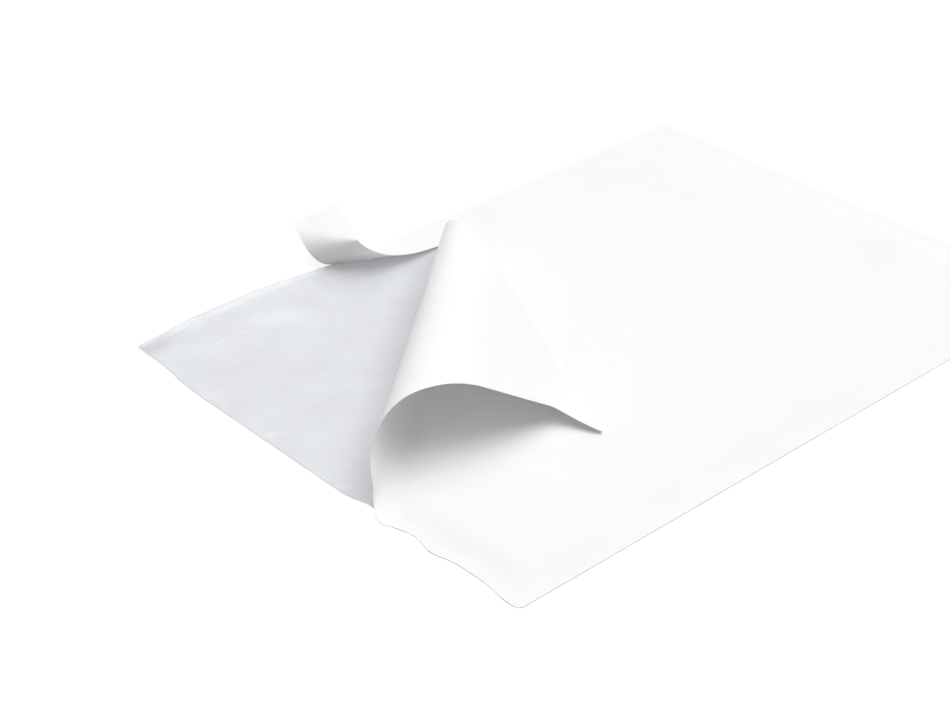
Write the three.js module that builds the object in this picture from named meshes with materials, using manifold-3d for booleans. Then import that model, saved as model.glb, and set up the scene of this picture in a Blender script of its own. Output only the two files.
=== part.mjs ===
import * as THREE from "three";
import { mergeVertices } from "three/addons/utils/BufferGeometryUtils.js";
import Module from "manifold-3d";

// Packing list envelope for A4 papers, lying face down with its adhesive back up. Two films are
// welded along all four edges. Release paper covers the back in two sheets, parted along the filling
// slit, and both are peeled at the left far corner.
// Millimetres, +Z up, +Y to the far long edge. The origin is the middle of the underside.

// Pouch
const LENGTH = 320;
const WIDTH = 240;
const CORNER_RADIUS = 2;
const CORNER_STEPS = 6;
const FRONT_FILM = 0.06;
const BACK_FILM = 0.06;
const POCKET_DEPTH = 0.3;
const WELD_WIDTH = 5;

// Filling slit in the back film, parallel to the far edge
const SLIT_INSET = 22.5;
const SLIT_WIDTH = 0.4;

// Release paper, with a knife cut between its two sheets above the slit
const PAPER = 0.1;
const KNIFE_CUT = 0.3;

// Rolled corner of the large sheet. The peel line crosses the sheet's left and slit edges at these
// distances from the corner, and every crease of the roll points at one spot beyond the slit edge.
// The paper rises, turns over, falls and runs straight down. Its tip, where a finger picked it up, is
// creased under and lies level just above the sheet.
const PEEL_ON_LEFT = 151;
const PEEL_ON_SLIT = 166.5;
const ROLL_POINT = 275;
const ROLL_RISE_RADIUS = 12.5;
const ROLL_RISE_TURN = 60;
const ROLL_TOP_RADIUS = 18.9;
const ROLL_TOP_TURN = 110;
const ROLL_FALL_RADIUS = 34;
const ROLL_FALL_TURN = 44;
const ROLL_TIP_RADIUS = 2;
const ROLL_TIP_GAP = 0.3;
const ROLL_STEP = 8;

// Finger tab at the left end of the strip. Each edge starts and finishes its curl at its own distance
// from the strip's end, and the power sets how the creases crowd along that edge.
const STRIP_INSET = 69.6;
const TAB_CORNER_RADIUS = 1;
const TAB_TURN = 175.5;
const TAB_FOLDS = 22;
const TAB_FAR_START = 37;
const TAB_FAR_FINISH = 0.5;
const TAB_FAR_POWER = 0.49;
const TAB_NEAR_START = 97;
const TAB_NEAR_FINISH = 33.7;
const TAB_NEAR_POWER = 4.5;

const left = -LENGTH / 2;
const right = LENGTH / 2;
const near = -WIDTH / 2;
const far = WIDTH / 2;
const slitY = far - SLIT_INSET;
const linerFar = slitY - KNIFE_CUT / 2;
const stripNear = slitY + KNIFE_CUT / 2;
const stripLeft = left + STRIP_INSET;
const pocketTop = FRONT_FILM + POCKET_DEPTH;
const backTop = pocketTop + BACK_FILM;

const wasm = await Module();
wasm.setup();
const { Manifold, Mesh } = wasm;
const radians = THREE.MathUtils.degToRad;
const HALVINGS = 40;

// Rectangle with a radius for each corner: near left, near right, far right, far left.
function outline(x0, y0, x1, y1, radii) {
  const corners = [[x0, y0, 1, 1], [x1, y0, -1, 1], [x1, y1, -1, -1], [x0, y1, 1, -1]];
  return corners.flatMap(([x, y, inX, inY], i) => {
    const steps = radii[i] > 0 ? CORNER_STEPS : 0;
    return Array.from({ length: steps + 1 }, (_, k) => {
      const angle = (Math.PI / 2) * (i + 2 + k / Math.max(steps, 1));
      const dx = radii[i] * (inX + Math.cos(angle));
      const dy = radii[i] * (inY + Math.sin(angle));
      return new THREE.Vector2(x + dx, y + dy);
    });
  });
}

// Upright plate between two heights.
function plate(points, z0, z1) {
  const geometry = new THREE.ExtrudeGeometry(new THREE.Shape(points), { depth: 1, bevelEnabled: false });
  const position = geometry.getAttribute("position");
  for (let i = 0; i < position.count; i += 1) {
    position.setZ(i, position.getZ(i) > 0.5 ? z1 : z0);
  }
  return geometry;
}

function toManifold(geometry) {
  const bare = new THREE.BufferGeometry();
  bare.setAttribute("position", geometry.getAttribute("position"));
  const merged = mergeVertices(bare, 1e-4);
  const vertProperties = merged.getAttribute("position").array;
  const triVerts = new Uint32Array(merged.index.array);
  return new Manifold(new Mesh({ numProp: 3, vertProperties, triVerts }));
}

function fromManifold(body) {
  const { vertProperties, triVerts } = body.getMesh();
  const geometry = new THREE.BufferGeometry();
  geometry.setAttribute("position", new THREE.BufferAttribute(vertProperties, 3));
  geometry.setIndex(new THREE.BufferAttribute(triVerts, 1));
  return geometry;
}

// Parts a convex outline along a crease. The part on the crease's left is the one that turns.
function partOutline(points, { from, to }) {
  const side = (p) => (to.x - from.x) * (p.y - from.y) - (to.y - from.y) * (p.x - from.x);
  const kept = [];
  const turned = [];
  points.forEach((p, i) => {
    const q = points[(i + 1) % points.length];
    (side(p) > 0 ? turned : kept).push(p);
    if (side(p) > 0 !== side(q) > 0) {
      const crossing = p.clone().lerp(q, side(p) / (side(p) - side(q)));
      kept.push(crossing);
      turned.push(crossing);
    }
  });
  return { kept, turned };
}

function foldMatrix({ from, to, turn }) {
  const axis = new THREE.Vector3(to.x - from.x, to.y - from.y, 0).normalize();
  const there = new THREE.Matrix4().makeTranslation(from.x, from.y, 0);
  const back = new THREE.Matrix4().makeTranslation(-from.x, -from.y, 0);
  return there.multiply(new THREE.Matrix4().makeRotationAxis(axis, turn)).multiply(back);
}

// Flat panels of a sheet folded along its creases in order, each with its place in space.
function foldPanels(points, creases, z) {
  const panels = [];
  const pose = new THREE.Matrix4().makeTranslation(0, 0, z);
  let rest = points;
  for (const crease of creases) {
    const { kept, turned } = partOutline(rest, crease);
    if (turned.length === 0) break;
    panels.push({ corners: kept, pose: pose.clone() });
    pose.multiply(foldMatrix(crease));
    rest = turned;
  }
  panels.push({ corners: rest, pose });
  return panels;
}

// Closed body of a folded sheet, its panels mitred at the creases.
function foldedSheet(panels) {
  const lower = new Map();
  const normals = new Map();
  for (const { corners, pose } of panels) {
    const normal = new THREE.Vector3(0, 0, 1).transformDirection(pose);
    for (const p of corners) {
      if (!lower.has(p)) lower.set(p, new THREE.Vector3(p.x, p.y, 0).applyMatrix4(pose));
      normals.set(p, [...(normals.get(p) ?? []), normal]);
    }
  }
  const points = [...lower.keys()];
  const upper = points.map((p) => {
    const [a, b = a] = normals.get(p);
    const mitre = a.clone().add(b).multiplyScalar(PAPER / (1 + a.dot(b)));
    return mitre.add(lower.get(p));
  });
  const count = points.length;
  const order = new Map(points.map((p, i) => [p, i]));
  const rims = panels.map(({ corners }) => corners.map((p) => order.get(p)));
  const edges = rims.flatMap((rim) => rim.map((a, k) => [a, rim[(k + 1) % rim.length]]));
  const edgeNames = new Set(edges.map(([a, b]) => `${a} ${b}`));
  const triangles = [];
  for (const rim of rims) {
    for (let k = 2; k < rim.length; k += 1) {
      triangles.push(rim[0], rim[k], rim[k - 1]);
      triangles.push(rim[0] + count, rim[k - 1] + count, rim[k] + count);
    }
  }
  for (const [a, b] of edges) {
    if (edgeNames.has(`${b} ${a}`)) continue;
    triangles.push(a, b, b + count, a, b + count, a + count);
  }
  const geometry = new THREE.BufferGeometry();
  geometry.setFromPoints([...lower.values(), ...upper]);
  geometry.setIndex(triangles);
  return geometry;
}

// Creases of the rolled corner, for a given straight run before its tip is creased under.
function rollCreases(straight) {
  const peelLeft = new THREE.Vector2(left, linerFar - PEEL_ON_LEFT);
  const peelSlit = new THREE.Vector2(left + PEEL_ON_SLIT, linerFar);
  const axis = peelSlit.clone().sub(peelLeft).normalize();
  const meeting = peelSlit.clone().addScaledVector(axis, ROLL_POINT);
  const reach = meeting.distanceTo(peelLeft);
  const tipTurn = 360 - ROLL_RISE_TURN - ROLL_TOP_TURN - ROLL_FALL_TURN;
  const bends = [
    { run: 0, radius: ROLL_RISE_RADIUS, turn: ROLL_RISE_TURN },
    { run: 0, radius: ROLL_TOP_RADIUS, turn: ROLL_TOP_TURN },
    { run: 0, radius: ROLL_FALL_RADIUS, turn: ROLL_FALL_TURN },
    { run: straight, radius: ROLL_TIP_RADIUS, turn: tipTurn },
  ];
  let start = 0;
  return bends.flatMap(({ run, radius, turn }) => {
    const folds = Math.ceil(turn / ROLL_STEP);
    const fold = radians(turn) / folds;
    const first = start + run + (radius * fold) / 2;
    start += run + radius * radians(turn);
    return Array.from({ length: folds }, (_, k) => {
      const swing = -(first + k * radius * fold) / reach;
      const from = peelLeft.clone().rotateAround(meeting, swing);
      return { from, to: meeting, turn: fold };
    });
  });
}

// The straight run is as long as it can be with the tip clear of the sheet below it.
const linerOutline = outline(left, near, right, linerFar, [
  CORNER_RADIUS, CORNER_RADIUS, 0, CORNER_RADIUS,
]);
const tipLowest = backTop + PAPER + ROLL_TIP_GAP;
let shortest = 0;
let longest = PEEL_ON_LEFT;
for (let i = 0; i < HALVINGS; i += 1) {
  const straight = (shortest + longest) / 2;
  const { corners, pose } = foldPanels(linerOutline, rollCreases(straight), backTop).at(-1);
  const heights = corners.map((p) => new THREE.Vector3(p.x, p.y, 0).applyMatrix4(pose).z);
  if (Math.min(...heights) > tipLowest) shortest = straight;
  else longest = straight;
}
const linerPanels = foldPanels(linerOutline, rollCreases(shortest), backTop);

const stripOutline = outline(stripLeft, stripNear, right, far, [
  TAB_CORNER_RADIUS, 0, CORNER_RADIUS, TAB_CORNER_RADIUS,
]);
const tabCreases = Array.from({ length: TAB_FOLDS }, (_, k) => {
  const share = 1 - (k + 0.5) / TAB_FOLDS;
  const onFar = TAB_FAR_FINISH + (TAB_FAR_START - TAB_FAR_FINISH) * share ** TAB_FAR_POWER;
  const onNear = TAB_NEAR_FINISH + (TAB_NEAR_START - TAB_NEAR_FINISH) * share ** TAB_NEAR_POWER;
  const from = new THREE.Vector2(stripLeft + onNear, stripNear);
  const to = new THREE.Vector2(stripLeft + onFar, far);
  return { from, to, turn: radians(TAB_TURN) / TAB_FOLDS };
});
const stripPanels = foldPanels(stripOutline, tabCreases, backTop);

const pouchOutline = outline(left, near, right, far, Array(4).fill(CORNER_RADIUS));
const pocketOutline = outline(
  left + WELD_WIDTH, near + WELD_WIDTH, right - WELD_WIDTH, far - WELD_WIDTH, [0, 0, 0, 0],
);
const slitOutline = outline(
  left + WELD_WIDTH, slitY - SLIT_WIDTH / 2, right - WELD_WIDTH, slitY + SLIT_WIDTH / 2, [0, 0, 0, 0],
);
const backFilm = toManifold(plate(pouchOutline, FRONT_FILM, backTop))
  .subtract(toManifold(plate(pocketOutline, 0, pocketTop)))
  .subtract(toManifold(plate(slitOutline, 0, backTop + PAPER)));

const clearFilm = { color: 0xe4e8ec, roughness: 0.22, metalness: 0 };
const milkyFilm = { color: 0xd9dee4, roughness: 0.3, metalness: 0 };
const releasePaper = { color: 0xfafaf8, roughness: 0.55, metalness: 0 };

const envelope = new THREE.Group();
envelope.name = "packing_list_envelope";

function addNode(name, geometry, finish) {
  geometry.computeVertexNormals();
  const mesh = new THREE.Mesh(geometry, new THREE.MeshStandardMaterial(finish));
  mesh.name = name;
  envelope.add(mesh);
}

addNode("front_film", plate(pouchOutline, 0, FRONT_FILM), clearFilm);
addNode("back_film", fromManifold(backFilm), milkyFilm);
addNode("release_liner", foldedSheet(linerPanels), releasePaper);
addNode("liner_strip", foldedSheet(stripPanels), releasePaper);

export default envelope;
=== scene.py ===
import bpy
import math
import numpy as np
from mathutils import Matrix, Quaternion, Vector, noise


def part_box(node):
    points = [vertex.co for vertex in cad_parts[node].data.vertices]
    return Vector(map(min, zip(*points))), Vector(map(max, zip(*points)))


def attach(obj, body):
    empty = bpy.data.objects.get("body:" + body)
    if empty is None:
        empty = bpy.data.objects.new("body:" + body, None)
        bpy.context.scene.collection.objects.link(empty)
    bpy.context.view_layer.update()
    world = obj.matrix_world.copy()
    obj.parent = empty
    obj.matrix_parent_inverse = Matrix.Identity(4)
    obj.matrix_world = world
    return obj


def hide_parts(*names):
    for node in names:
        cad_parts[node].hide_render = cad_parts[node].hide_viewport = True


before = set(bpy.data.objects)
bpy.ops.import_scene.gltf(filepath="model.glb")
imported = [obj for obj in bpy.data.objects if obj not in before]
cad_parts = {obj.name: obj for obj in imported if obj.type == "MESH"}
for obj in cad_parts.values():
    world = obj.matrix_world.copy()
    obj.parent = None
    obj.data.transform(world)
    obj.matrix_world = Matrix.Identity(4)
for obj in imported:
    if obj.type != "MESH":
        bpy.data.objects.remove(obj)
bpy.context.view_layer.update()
scene = bpy.context.scene
MM = 0.001

# Camera: the photograph looks down on the pouch from beyond its near left corner, through a long lens.
# The camera is turned a little about its own line of sight.
camera_place = Vector((-535.27, -531.73, 442.94)) * MM
camera_aim = Vector((-63.61, 13.32, 0.0)) * MM
camera_turn = -0.0230
bpy.ops.object.select_all(action="DESELECT")
bpy.ops.object.camera_add(location=camera_place)
camera = bpy.context.object
camera.name = "camera"
camera.data.sensor_width = 36.0
camera.data.lens = 77.23
camera.rotation_mode = "QUATERNION"
facing = (camera_aim - camera_place).to_track_quat("-Z", "Y")
camera.rotation_quaternion = facing @ Quaternion((0, 0, 1), camera_turn)
scene.camera = camera

# Front film: the clear panel of polyethylene film that faces the table, welded to the back film along
# all four edges. It lies flat, apart from its far left edge, which the pull on the paper has lifted,
# and its left edge, which has crept outwards.
front_low, front_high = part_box("front_film")
left, near, table = front_low
right, far, front_top = front_high
film_thickness = front_top - table
corner_radius = 2 * MM
weld_width = 5 * MM
edge_lift = 3.4 * MM
lift_rise, lift_fall = (-12 * MM, 40 * MM), (60 * MM, 118 * MM)
lift_depth = 42 * MM
edge_creep = 2.8 * MM
creep_rise, creep_fall = (12 * MM, 50 * MM), (144 * MM, 158 * MM)
creep_depth = 60 * MM
# Each bump of the left edge: its place from the far edge, its reach and how far it stands out, in mm.
edge_bumps = ((171, 7.5, 2.8), (194, 7, 2.6), (234, 8, 1.8))
far_pucker, far_waves = 0.22 * MM, (8 * MM, 5 * MM)
sharp_pucker, sharp_waves = 0.9 * MM, (5.5 * MM, 4 * MM)
left_pucker, left_waves = 0.3 * MM, (7 * MM, 16 * MM)
_, liner_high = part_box("release_liner")
strip_low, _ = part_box("liner_strip")
slit = (liner_high.y + strip_low.y) / 2
half_cut = 0.02 * MM
liner_far = slit - half_cut
strip_near = slit + half_cut
strip_left = left + 69.6 * MM
peel_left = np.array([left, liner_far - 151 * MM])
peel_slit = np.array([left + 166.5 * MM, liner_far])
tab_far_start = 37 * MM
tab_near_start = 97 * MM
tab_root = np.array([strip_left + tab_near_start, strip_near])
tab_crown = np.array([strip_left + tab_far_start, far])
peel_fade = (2 * MM, 16 * MM)


def ease(start, stop, value):
    """Goes smoothly from 0 at start to 1 at stop."""
    share = np.clip((value - start) / (stop - start), 0, 1)
    return share * share * (3 - 2 * share)


def lifted_edge(x, y):
    """How high the pouch's far left edge stands off the table at a point of the flat outline."""
    along = x - left
    in_from_far = far - y
    hump = ease(*lift_rise, along) * (1 - ease(*lift_fall, along))
    return edge_lift * hump * (1 - ease(0, lift_depth, in_from_far))


def left_of(x, y, start, stop):
    """How far a point lies to the left of the line from start to stop."""
    axis = (stop - start) / np.linalg.norm(stop - start)
    return axis[0] * (y - start[1]) - axis[1] * (x - start[0])


def bare(x, y):
    """1 where the paper is off the film, and 0 where it still lies on it."""
    off_liner = ease(*peel_fade, left_of(x, y, peel_left, peel_slit))
    return off_liner * ease(*peel_fade, left_of(x, y, tab_root, tab_crown))


def ripple(x, y, along, across, seed):
    """Soft random waves with one length along X and another along Y, from about -1 to 1."""
    spots = zip(x / along, y / across)
    return np.array([noise.noise(Vector((a, b, seed))) for a, b in spots]) * 1.6


def puckered_weld(x, y):
    """How high the bare part of the weld has puckered, along the far edge and the left edge."""
    far_weld = 1 - ease(weld_width, weld_width * 2, far - y)
    left_weld = (1 - ease(weld_width, weld_width * 3, x - left)) * ease(0, 20 * MM, far - y)
    height = far_pucker * far_weld * (0.5 + ripple(x, y, *far_waves, 1.0))
    height += sharp_pucker * far_weld * np.maximum(ripple(x, y, *sharp_waves, 2.0) - 0.5, 0)
    height += left_pucker * left_weld * (0.4 + ripple(x + y, x - y, *left_waves, 4.0))
    return np.maximum(height, 0) * bare(x, y)


def crept_edge(x, y):
    """How far the pouch's left edge has moved outwards at a point of the flat outline."""
    in_from_far = far - y
    creep = edge_creep * ease(*creep_rise, in_from_far)
    creep *= 1 - ease(*creep_fall, in_from_far)
    for place, reach, out in edge_bumps:
        creep += out * MM * np.exp(-(((in_from_far - place * MM) / (reach * MM)) ** 2))
    return creep * (1 - ease(0, creep_depth, x - left))


def read_points(piece):
    """The points of a piece's mesh, one in each row."""
    points = np.empty(len(piece.data.vertices) * 3)
    piece.data.vertices.foreach_get("co", points)
    return points.reshape(-1, 3)


def write_points(piece, points):
    """Puts moved points back into a piece's mesh."""
    piece.data.vertices.foreach_set("co", points.ravel())
    piece.data.update()


def add_grid(name, columns, rows):
    """Adds a grid one metre square, from which a sheet is shaped."""
    bpy.ops.object.select_all(action="DESELECT")
    bpy.ops.mesh.primitive_grid_add(x_subdivisions=columns, y_subdivisions=rows, size=1)
    piece = bpy.context.object
    piece.name = name
    return piece


def add_pouch_panel(name):
    """Adds a flat grid with the pouch's outline and rounded corners, finest where the film is bare."""
    column_stops = [(0, left), (118, left + 130 * MM), (204, right)]
    row_stops = [(0, near), (34, near + 85 * MM), (114, slit - 3 * MM), (120, slit - 0.05 * MM)]
    row_stops += [(121, slit + 0.05 * MM), (127, slit + 3 * MM), (150, far)]
    panel = add_grid(name, column_stops[-1][0], row_stops[-1][0])
    points = read_points(panel)
    for axis, stops in enumerate((column_stops, row_stops)):
        numbers, places = zip(*stops)
        points[:, axis] = np.interp((points[:, axis] + 0.5) * numbers[-1], numbers, places)
    middle = np.array([(left + right) / 2, (near + far) / 2])
    half = np.array([(right - left) / 2, (far - near) / 2])
    flat = points[:, :2] - middle
    reach = np.clip((np.abs(flat) - half + corner_radius) / corner_radius, 0, 1)
    pulled = reach * np.sqrt(1 - reach[:, ::-1] ** 2 / 2)
    corner = (reach > 0).all(axis=1)
    flat[corner] = (np.sign(flat) * (half - corner_radius + corner_radius * pulled))[corner]
    points[:, :2] = flat + middle
    write_points(panel, points)
    return panel


def thicken(piece, thickness, upper_slot):
    """Gives a sheet its thickness upwards from its lower face, and smooths all but its cut edges."""
    bpy.ops.object.modifier_add(type="SOLIDIFY")
    wall = piece.modifiers[-1]
    wall.thickness = thickness
    wall.offset = 1
    wall.material_offset = upper_slot
    wall.material_offset_rim = upper_slot
    bpy.ops.object.modifier_apply(modifier=wall.name)
    bpy.ops.object.shade_smooth_by_angle(angle=math.radians(40))


weld_fade = (weld_width - 0.8 * MM, weld_width + 0.4 * MM)
weld_unevenness = 0.8 * MM
faint_weld = 0.12
# The film is darkened near its far left corner, in a band of painted shade beside the roll, and at its
# rim.
corner_length, corner_fade, corner_darkening = 26 * MM, (3 * MM, 15 * MM), 0.9
roll_fade_in, roll_fade_out, painted_roll_shade = (-6 * MM, 0), (13 * MM, 32 * MM), 0.55
rim_fade, rim_darkening = 1.1 * MM, 0.65


def mark_film(piece, x, y):
    """Marks a film's frosted welds with painted glint streaks, and darkens it at its rim, near a corner
    and, as painted shade, beside the roll.
    """
    to_rim = np.minimum(np.minimum(x - left, right - x), np.minimum(y - near, far - y))
    uneven = weld_unevenness * ripple(x, y, 9 * MM, 60 * MM, 3.0)
    # Painted glints: lighter streaks along the far weld stand in for its sparkle, on top of the weld's
    # own frosting.
    glint_streaks = np.clip(0.55 + 0.7 * ripple(x, y, 12 * MM, 2.5 * MM, 5.0), 0, 1)
    along_far = 1 - ease(*weld_fade, far - y + uneven)
    all_round = 1 - ease(*weld_fade, to_rim)
    weld = np.maximum(along_far * glint_streaks, faint_weld * all_round)
    from_peel = left_of(x, y, peel_left, peel_slit)
    # Darker near the far left corner.
    corner = (1 - ease(0, corner_length, x - left)) * (1 - ease(*corner_fade, far - y))
    # Painted shade: a darker band on the film beside the roll, where the roll shades it.
    shade_beside_roll = ease(*roll_fade_in, from_peel) * (1 - ease(*roll_fade_out, from_peel))
    darkened = np.maximum(corner_darkening * corner, painted_roll_shade * shade_beside_roll) * (1 - along_far * glint_streaks)
    # Darker within about a millimetre of the rim.
    darkened = np.maximum(darkened, rim_darkening * (1 - ease(0, rim_fade, to_rim)))
    for name, values in (("weld", weld), ("darkened", darkened)):
        mark = piece.data.attributes.new(name, "FLOAT", "POINT")
        mark.data.foreach_set("value", values)


def new_finish(name):
    """Makes a material and returns it with its node tree, shader and object coordinates."""
    finish = bpy.data.materials.new(name)
    finish.use_nodes = True
    tree = finish.node_tree
    place = tree.nodes.new("ShaderNodeTexCoord")
    return finish, tree, tree.nodes["Principled BSDF"], place.outputs["Object"]


def add_noise(tree, place, scale, detail, stretch=(1, 1, 1)):
    """Adds a noise pattern on the given coordinates and returns its value."""
    mapping = tree.nodes.new("ShaderNodeMapping")
    mapping.inputs["Scale"].default_value = stretch
    tree.links.new(place, mapping.inputs["Vector"])
    pattern = tree.nodes.new("ShaderNodeTexNoise")
    pattern.inputs["Scale"].default_value = scale
    pattern.inputs["Detail"].default_value = detail
    tree.links.new(mapping.outputs["Vector"], pattern.inputs["Vector"])
    return pattern.outputs["Fac"]


def add_ramp(tree, value, stops):
    """Turns a pattern into colours at the given stops."""
    ramp = tree.nodes.new("ShaderNodeValToRGB")
    ramp.color_ramp.elements[0].position = stops[0][0]
    ramp.color_ramp.elements[0].color = (*stops[0][1], 1)
    ramp.color_ramp.elements[1].position = stops[-1][0]
    ramp.color_ramp.elements[1].color = (*stops[-1][1], 1)
    for position, colour in stops[1:-1]:
        ramp.color_ramp.elements.new(position).color = (*colour, 1)
    tree.links.new(value, ramp.inputs["Fac"])
    return ramp.outputs["Color"]


def add_range(tree, value, low, high):
    """Spreads a pattern's middle over a range of values."""
    spread = tree.nodes.new("ShaderNodeMapRange")
    spread.inputs["From Min"].default_value = 0.3
    spread.inputs["From Max"].default_value = 0.7
    spread.inputs["To Min"].default_value = low
    spread.inputs["To Max"].default_value = high
    tree.links.new(value, spread.inputs["Value"])
    return spread.outputs["Result"]


def tint_marked(tree, colour, name, tinted, share):
    """Draws a colour towards another one where a mark is set."""
    mark = tree.nodes.new("ShaderNodeAttribute")
    mark.attribute_name = name
    amount = tree.nodes.new("ShaderNodeMath")
    amount.operation = "MULTIPLY"
    amount.inputs[1].default_value = share
    tree.links.new(mark.outputs["Fac"], amount.inputs[0])
    blend = tree.nodes.new("ShaderNodeMix")
    blend.data_type = "RGBA"
    tree.links.new(amount.outputs[0], blend.inputs[0])
    tree.links.new(colour, blend.inputs[6])
    blend.inputs[7].default_value = (*tinted, 1)
    return blend.outputs[2]


def add_bump(tree, value, shader, strength, depth):
    """Raises a shader's surface by a pattern."""
    bump = tree.nodes.new("ShaderNodeBump")
    bump.inputs["Strength"].default_value = strength
    bump.inputs["Distance"].default_value = depth
    tree.links.new(value, bump.inputs["Height"])
    tree.links.new(bump.outputs["Normal"], shader.inputs["Normal"])


# Frosted weld colour; along the far edge its streaks are painted glints.
frost_and_glint_colour, frost_and_glint_share = (0.90, 0.95, 0.95), 0.5
# Darkening colour: painted shade beside the roll, and darker at the rim and near a corner.
darkened_colour, darkened_share = (0.46, 0.47, 0.51), 0.9
clear_film, tree, shader, place = new_finish("clear_film")
tint = add_noise(tree, place, 22, 3)
clear_colours = [(0.3, (0.74, 0.77, 0.81)), (0.7, (0.80, 0.82, 0.85))]
clear_colour = add_ramp(tree, tint, clear_colours)
# Lighter at the welds, with painted glint streaks along the far edge.
clear_colour = tint_marked(tree, clear_colour, "weld", frost_and_glint_colour, frost_and_glint_share)
# Darkened where marked: painted shade beside the roll, and darker at the rim and near a corner.
clear_colour = tint_marked(tree, clear_colour, "darkened", darkened_colour, darkened_share)
tree.links.new(clear_colour, shader.inputs["Base Color"])
tree.links.new(add_range(tree, tint, 0.12, 0.2), shader.inputs["Roughness"])
shader.inputs["Alpha"].default_value = 0.16
add_bump(tree, add_noise(tree, place, 90, 2), shader, 0.25, 0.2 * MM)

front_panel = add_pouch_panel("front_panel")
points = read_points(front_panel)
flat_x, flat_y = points[:, 0].copy(), points[:, 1].copy()
points[:, 0] -= crept_edge(flat_x, flat_y)
points[:, 2] = table + lifted_edge(flat_x, flat_y) + puckered_weld(flat_x, flat_y)
write_points(front_panel, points)
mark_film(front_panel, flat_x, flat_y)
front_panel.data.materials.append(clear_film)
thicken(front_panel, film_thickness, 0)
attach(front_panel, "root")
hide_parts("front_film")

# Back film: the slightly milky panel that sticks to the carton by its wet-looking coat of adhesive,
# slit across for filling. A little air in the pocket holds it up under the paper. The pull has
# wrinkled its bare part and raised the slit's far lip.
pocket_air = 1.4 * MM
pocket_slope = (weld_width * 0.8, 18 * MM)
bare_share = 0.7
weld_gap = 0.06 * MM
lip_height, lip_depth = 0.3 * MM, 2.5 * MM
lip_slope = (-0.45 * MM, 0.1 * MM)
lip_rise, lip_fall = (8 * MM, 22 * MM), (66 * MM, 92 * MM)
lip_across = 900 * MM
wrinkle_height = 0.3 * MM


def pocket_height(x, y):
    """How far the two films stand apart at a point of the flat outline."""
    lengthwise = ease(*pocket_slope, np.minimum(x - left, right - x))
    crosswise = ease(*pocket_slope, np.minimum(y - near, far - y))
    return weld_gap + pocket_air * lengthwise * crosswise * (1 - bare_share * bare(x, y))


def film_bed(x, y):
    """Height of the back film's lower face before it wrinkles."""
    return table + film_thickness + lifted_edge(x, y) + pocket_height(x, y)


def wrinkles(x, y):
    """Height of the bare film's other wrinkles at a point of the flat outline."""
    over_slit = y - slit - 0.5 * MM * ripple(x, y, 18 * MM, lip_across, 11.0)
    lip = ease(*lip_slope, over_slit) * np.exp(-np.maximum(over_slit, 0) / lip_depth)
    lip *= ease(*lip_rise, x - left) * (1 - ease(*lip_fall, x - left))
    inside = ease(weld_width, weld_width * 5, np.minimum(far - y, x - left))
    height = lip_height * lip * np.maximum(0.1 + ripple(x, y, 8 * MM, lip_across, 7.0), 0)
    height += wrinkle_height * inside * ripple(x + 0.6 * y, y - 0.6 * x, 22 * MM, 60 * MM, 9.0)
    return bare(x, y) * height


milky_film, tree, shader, place = new_finish("milky_film")
tint = add_noise(tree, place, 42, 3)
milky_colours = [(0.25, (0.70, 0.71, 0.77)), (0.5, (0.75, 0.77, 0.81)), (0.75, (0.78, 0.82, 0.84))]
milky_colour = add_ramp(tree, tint, milky_colours)
# Lighter at the welds, with painted glint streaks along the far edge.
milky_colour = tint_marked(tree, milky_colour, "weld", frost_and_glint_colour, frost_and_glint_share)
# Darkened where marked: painted shade beside the roll, and darker at the rim and near a corner.
milky_colour = tint_marked(tree, milky_colour, "darkened", darkened_colour, darkened_share)
tree.links.new(milky_colour, shader.inputs["Base Color"])
smears = add_noise(tree, place, 30, 4, (1, 2.5, 1))
tree.links.new(add_range(tree, smears, 0.08, 0.24), shader.inputs["Roughness"])
shader.inputs["Alpha"].default_value = 0.41
shader.inputs["Specular IOR Level"].default_value = 0.8
add_bump(tree, add_noise(tree, place, 120, 3), shader, 0.3, 0.15 * MM)

back_panel = add_pouch_panel("back_panel")
points = read_points(back_panel)
flat_x, flat_y = points[:, 0].copy(), points[:, 1].copy()
points[:, 0] -= crept_edge(flat_x, flat_y)
points[:, 2] = film_bed(flat_x, flat_y) + puckered_weld(flat_x, flat_y) + wrinkles(flat_x, flat_y)
write_points(back_panel, points)
mark_film(back_panel, flat_x, flat_y)
back_panel.data.materials.append(milky_film)
thicken(back_panel, film_thickness, 0)
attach(back_panel, "root")
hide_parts("back_film")

# Release liner: the large sheet of white release paper, siliconed below. Its peeled corner springs
# into a roll with a flared foot. The creases all point at one spot beyond the slit, so the roll
# narrows away from its mouth. Its tip is creased under and drawn out to a point.
paper_thickness = 0.1 * MM
paper_gap = 0.2 * MM
roll_point = 275 * MM
tip_gap = 0.15 * MM
tip_bottom = paper_thickness + tip_gap
peel_axis = (peel_slit - peel_left) / np.linalg.norm(peel_slit - peel_left)
roll_bends = [(12.5 * MM, 60), (18.9 * MM, 110), (34 * MM, 44)]
tip_bend = (2 * MM, 360 - sum(turn for _, turn in roll_bends))
fold_step = 2.5
meeting = peel_slit + peel_axis * roll_point
mouth_reach = np.linalg.norm(meeting - peel_left)
peel_angle = math.atan2(*(peel_left - meeting)[::-1])


def rounded_outline(low_x, low_y, high_x, high_y, radii, steps=8):
    """Outline of a sheet, with a radius for each corner: near left, near right, far right, far left."""
    corners = [(low_x, low_y), (high_x, low_y), (high_x, high_y), (low_x, high_y)]
    inward = [(1, 1), (-1, 1), (-1, -1), (1, -1)]
    outline = []
    for turn, (corner, way, radius) in enumerate(zip(corners, inward, radii)):
        for angle in np.linspace(turn + 2, turn + 3, steps) * math.pi / 2:
            swing = np.array([math.cos(angle), math.sin(angle)])
            outline.append(np.array(corner) + radius * (np.array(way) + swing))
    return np.array(outline)


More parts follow.
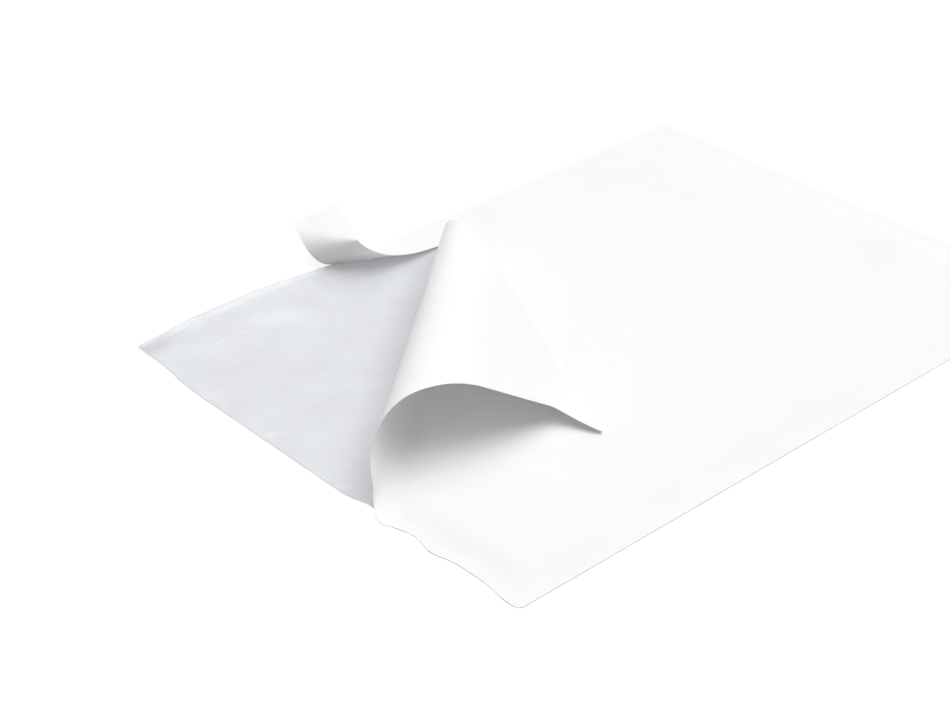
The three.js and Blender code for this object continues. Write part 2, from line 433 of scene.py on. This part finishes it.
def cross_sheet(outline, angle):
    """The two points where a ray from the creases' meeting spot crosses the sheet's outline."""
    ray = np.array([math.cos(angle), math.sin(angle)])
    offset = outline - meeting
    side = offset[:, 0] * ray[1] - offset[:, 1] * ray[0]
    ahead = offset @ ray
    after = np.roll(side, -1)
    edge = np.nonzero((side > 0) != (after > 0))[0]
    share = side[edge] / (side[edge] - after[edge])
    distance = ahead[edge] * (1 - share) + np.roll(ahead, -1)[edge] * share
    return meeting + ray * distance.min(), meeting + ray * distance.max()


def roll_folds(straight):
    """Angles of the roll's creases at their meeting spot, each with the turn that is made there."""
    folds = []
    start = 0.0
    bends = [(0, *bend) for bend in roll_bends] + [(straight, *tip_bend)]
    for run, radius, turn in bends:
        count = math.ceil(turn / fold_step)
        fold = math.radians(turn) / count
        first = start + run + radius * fold / 2
        start += run + radius * math.radians(turn)
        folds += [(peel_angle - (first + k * radius * fold) / mouth_reach, fold) for k in range(count)]
    return folds


def fold_pose(pose, point, axis, turn):
    """Folds what follows a crease through a point of the flat sheet."""
    there = Matrix.Translation((*point, 0))
    return pose @ there @ Matrix.Rotation(turn, 4, Vector((*axis, 0))) @ there.inverted()


def tip_height(straight):
    """Height of the roll's tip above the flat sheet's lower face."""
    pose = Matrix.Identity(4)
    for angle, turn in roll_folds(straight):
        pose = fold_pose(pose, meeting, (-math.cos(angle), -math.sin(angle)), turn)
    return (pose @ Vector((left, liner_far, 0))).z


# The straight run before the tip's crease is found by halving, so that the tip just clears the sheet.
shortest, longest = 0.0, 60 * MM
for _ in range(30):
    middle = (shortest + longest) / 2
    if tip_height(middle) > tip_bottom:
        shortest = middle
    else:
        longest = middle

liner_outline = rounded_outline(
    left, near, right, liner_far, [corner_radius, corner_radius, 0, corner_radius]
)
outline_angles = np.unwrap(np.arctan2(*(liner_outline - meeting).T[::-1]))
outline_angles += 2 * math.pi * round((peel_angle - outline_angles.mean()) / (2 * math.pi))
tip_angle, last_angle = outline_angles.min(), outline_angles.max()
flat_columns, flap_columns, tail_columns = 110, 60, 14
edge_margin = 1e-5
flat_angles = np.linspace(peel_angle, last_angle - edge_margin, flat_columns)[::-1]
corner_angles = outline_angles[(outline_angles > peel_angle) & (outline_angles < last_angle)]
flat_angles = np.unique(np.concatenate([flat_angles, corner_angles]))[::-1]
folds = roll_folds(shortest)
tail_angles = np.linspace(folds[-1][0], tip_angle + edge_margin, tail_columns)[1:]
flap_angles = np.linspace(folds[0][0], folds[-1][0], flap_columns)
columns = [(angle, 0.0) for angle in [*flat_angles, *flap_angles, *tail_angles]] + folds
columns.sort(key=lambda column: -column[0])
rows = 100

liner_sheet = add_grid("liner_sheet", len(columns) - 1, rows)
points = read_points(liner_sheet)
column_of = np.rint((points[:, 0] + 0.5) * (len(columns) - 1)).astype(int)
share = (1 - np.cos(math.pi * (points[:, 1] + 0.5))) / 2
roll_flare = 0.16
flare_start, flare_end = 480 * MM, 290 * MM
foot_spread = 3 * MM
foot_rise, foot_fall = 5 * MM, (7 * MM, 16 * MM)
creep_fade = 12 * MM
flap_sag = np.array([-3.7, -7.1]) * MM
tail_pull = np.array([0.7, -18]) * MM
tail_length = 45 * MM
tail_start, tail_full = 14 * MM, 3 * MM
tail_flattening = 0.55
fall_start, fall_end = folds[len(folds) // 3][0], folds[-1][0]
crease_end = mouth_reach * (peel_angle - folds[-1][0])
pose = Matrix.Identity(4)
for number, (angle, turn) in enumerate(columns):
    chosen = column_of == number
    entry, leaving = cross_sheet(liner_outline, angle)
    flat = leaving + np.outer(share[chosen], entry - leaving)
    reach = np.linalg.norm(flat - meeting, axis=1)
    folded = np.column_stack([flat, np.zeros(len(flat)), np.ones(len(flat))]) @ np.array(pose).T
    foot = flat if angle >= peel_angle else meeting - np.outer(reach, peel_axis)
    rolled = mouth_reach * max(peel_angle - angle, 0)
    folded[:, 0] -= crept_edge(foot[:, 0], foot[:, 1]) * (1 - ease(0, creep_fade, rolled))
    folded[:, 2] *= 1 + roll_flare * ease(flare_start, flare_end, reach)
    sag = ease(fall_start, fall_end, angle)
    folded[:, :2] += np.outer(np.full(len(flat), sag), flap_sag)
    by_mouth = 1 - ease(0, tail_length, reach.max() - reach)
    foot_flare = ease(0, foot_rise, rolled) * (1 - ease(*foot_fall, rolled))
    folded[:, 0] -= foot_spread * by_mouth * foot_flare
    tail = by_mouth * ease(crease_end - tail_start, crease_end - tail_full, rolled)
    folded[:, :2] += np.outer(tail, tail_pull)
    folded[:, 2] -= tail_flattening * tail * np.maximum(folded[:, 2] - tip_bottom, 0)
    folded[:, 2] += film_bed(foot[:, 0], foot[:, 1]) + film_thickness + paper_gap
    points[chosen] = folded[:, :3]
    pose = fold_pose(pose, meeting, (-math.cos(angle), -math.sin(angle)), turn)
write_points(liner_sheet, points)
bpy.ops.object.mode_set(mode="EDIT")
bpy.ops.mesh.select_all(action="SELECT")
bpy.ops.mesh.remove_doubles(threshold=0.02 * MM)
bpy.ops.object.mode_set(mode="OBJECT")


def let_light_through(tree, shader, share):
    """Lets a share of the light pass through thin paper."""
    glow = tree.nodes.new("ShaderNodeBsdfTranslucent")
    glow.inputs["Color"].default_value = (0.95, 0.95, 0.95, 1)
    blend = tree.nodes.new("ShaderNodeMixShader")
    blend.inputs["Fac"].default_value = share
    tree.links.new(shader.outputs["BSDF"], blend.inputs[1])
    tree.links.new(glow.outputs["BSDF"], blend.inputs[2])
    tree.links.new(blend.outputs["Shader"], tree.nodes["Material Output"].inputs["Surface"])


paper_colours = [(0.3, (0.945, 0.945, 0.945)), (0.7, (0.965, 0.965, 0.965))]


def new_paper(name, roughness, gloss, grain, grain_strength, let_through):
    """Makes a cloudy white paper with a fine grain."""
    finish, tree, shader, place = new_finish(name)
    cloudy = add_noise(tree, place, 26, 4)
    tree.links.new(add_ramp(tree, cloudy, paper_colours), shader.inputs["Base Color"])
    tree.links.new(add_range(tree, cloudy, *roughness), shader.inputs["Roughness"])
    shader.inputs["Specular IOR Level"].default_value = gloss
    add_bump(tree, add_noise(tree, place, *grain), shader, grain_strength, 0.03 * MM)
    let_light_through(tree, shader, let_through)
    return finish


plain_paper = new_paper("plain_paper", (0.65, 0.75), 0, (900, 4), 0.12, 0.22)
siliconed_paper = new_paper("siliconed_paper", (0.4, 0.5), 0.25, (500, 3), 0.08, 0.25)
liner_sheet.data.materials.append(siliconed_paper)
liner_sheet.data.materials.append(plain_paper)
thicken(liner_sheet, paper_thickness, 1)
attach(liner_sheet, "root")
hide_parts("release_liner")

# Liner strip: the narrow strip of release paper beyond the slit, trimmed short of the pouch's left end.
# It is peeled off there as a finger tab, which has curled up and over and leans out past the far edge.
tab_turn = math.radians(175.5)
tab_folds = 66
tab_far_finish, tab_far_power = 0.5 * MM, 0.49
tab_near_finish, tab_near_power = 33.7 * MM, 4.5


def tab_crossings(share):
    """Where a crease crosses the strip's far and near edges, from its end, for a share of the curl."""
    on_far = tab_far_finish + (tab_far_start - tab_far_finish) * share**tab_far_power
    on_near = tab_near_finish + (tab_near_start - tab_near_finish) * share**tab_near_power
    return on_far, on_near


strip_length = right - strip_left
flat_shares = (1 + np.cos(math.pi * np.linspace(0, 1, 120))) / 2
flat_rulings = [
    (
        tab_far_start + (strip_length - tab_far_start) * share,
        tab_near_start + (strip_length - tab_near_start) * share,
        0.0,
    )
    for share in flat_shares
]
tab_rulings = [
    (*tab_crossings(1 - (k + 0.5) / tab_folds), tab_turn / tab_folds) for k in range(tab_folds)
]
last_far, last_near, _ = tab_rulings[-1]
end_shares = np.linspace(1, 0, 12)[1:]
end_rulings = [(last_far * share, last_near * share, 0.0) for share in end_shares]
rulings = flat_rulings + tab_rulings + end_rulings
rows = 24

tab_strip = add_grid("tab_strip", len(rulings) - 1, rows)
points = read_points(tab_strip)
column_of = np.rint((points[:, 0] + 0.5) * (len(rulings) - 1)).astype(int)
share = (1 - np.cos(math.pi * (points[:, 1] + 0.5))) / 2
pose = Matrix.Identity(4)
for number, (on_far, on_near, turn) in enumerate(rulings):
    chosen = column_of == number
    far_point = np.array([strip_left + on_far, far])
    near_point = np.array([strip_left + on_near, strip_near])
    flat = near_point + np.outer(share[chosen], far_point - near_point)
    folded = np.column_stack([flat, np.zeros(len(flat)), np.ones(len(flat))]) @ np.array(pose).T
    foot_x = np.maximum(flat[:, 0], strip_left + tab_far_start)
    folded[:, 2] += film_bed(foot_x, flat[:, 1]) + film_thickness + paper_gap
    points[chosen] = folded[:, :3]
    pose = fold_pose(pose, near_point, far_point - near_point, turn)
write_points(tab_strip, points)
tab_strip.data.materials.append(siliconed_paper)
tab_strip.data.materials.append(plain_paper)
thicken(tab_strip, paper_thickness, 1)
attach(tab_strip, "root")
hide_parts("liner_strip")

# Table and light: a white table top that runs out of the picture, under one very broad soft lamp.
# Three faint ones, at the right, behind and in front, and light from all round open up the shade.
table_gap = 0.05 * MM
bpy.ops.object.select_all(action="DESELECT")
bpy.ops.mesh.primitive_plane_add(size=12, location=(0, 0, table - table_gap))
table_top = bpy.context.object
table_top.name = "table_top"
bpy.ops.object.transform_apply(location=True)
table_white, tree, shader, _ = new_finish("table_white")
shader.inputs["Base Color"].default_value = (0.34, 0.34, 0.34, 1)
shader.inputs["Roughness"].default_value = 0.8


def seen_straight(tree):
    """1 where the picture, a reflection or a clear sheet shows the surface, and 0 for its light."""
    path = tree.nodes.new("ShaderNodeLightPath")
    either = path.outputs["Is Camera Ray"]
    for ray in ("Is Glossy Ray", "Is Transmission Ray"):
        larger = tree.nodes.new("ShaderNodeMath")
        larger.operation = "MAXIMUM"
        tree.links.new(either, larger.inputs[0])
        tree.links.new(path.outputs[ray], larger.inputs[1])
        either = larger.outputs[0]
    return either


white_share = tree.nodes.new("ShaderNodeMath")
white_share.operation = "MULTIPLY"
white_share.inputs[1].default_value = 0.75
tree.links.new(seen_straight(tree), white_share.inputs[0])
shader.inputs["Emission Color"].default_value = (1, 1, 1, 1)
tree.links.new(white_share.outputs[0], shader.inputs["Emission Strength"])
table_top.data.materials.append(table_white)

world = bpy.data.worlds.new("studio")
scene.world = world
world.use_nodes = True
tree = world.node_tree
room_light = tree.nodes["Background"]
room_light.inputs["Color"].default_value = (0.985, 0.99, 1.0, 1)
room_light.inputs["Strength"].default_value = 0.12
backdrop = tree.nodes.new("ShaderNodeBackground")
backdrop.inputs["Color"].default_value = (1, 1, 1, 1)
backdrop.inputs["Strength"].default_value = 1.0
chooser = tree.nodes.new("ShaderNodeMixShader")
tree.links.new(seen_straight(tree), chooser.inputs["Fac"])
tree.links.new(room_light.outputs["Background"], chooser.inputs[1])
tree.links.new(backdrop.outputs["Background"], chooser.inputs[2])
tree.links.new(chooser.outputs["Shader"], tree.nodes["World Output"].inputs["Surface"])

lamps = [
    ("lamp_above", (0.20, 0.12, 0.97), 70, 2.44),
    ("lamp_at_right", (0.75, -0.30, 0.59), 60, 0.60),
    ("lamp_behind", (0.45, 0.50, 0.74), 60, 0.27),
    ("lamp_in_front", (-0.50, -0.58, 0.64), 60, 0.43),
]
for name, way, spread, strength in lamps:
    way = Vector(way).normalized()
    bpy.ops.object.light_add(type="SUN", location=way)
    lamp = bpy.context.object
    lamp.name = name
    lamp.rotation_euler = (-way).to_track_quat("-Z", "Y").to_euler()
    lamp.data.angle = math.radians(spread)
    lamp.data.energy = strength

scene.view_settings.view_transform = "Standard"
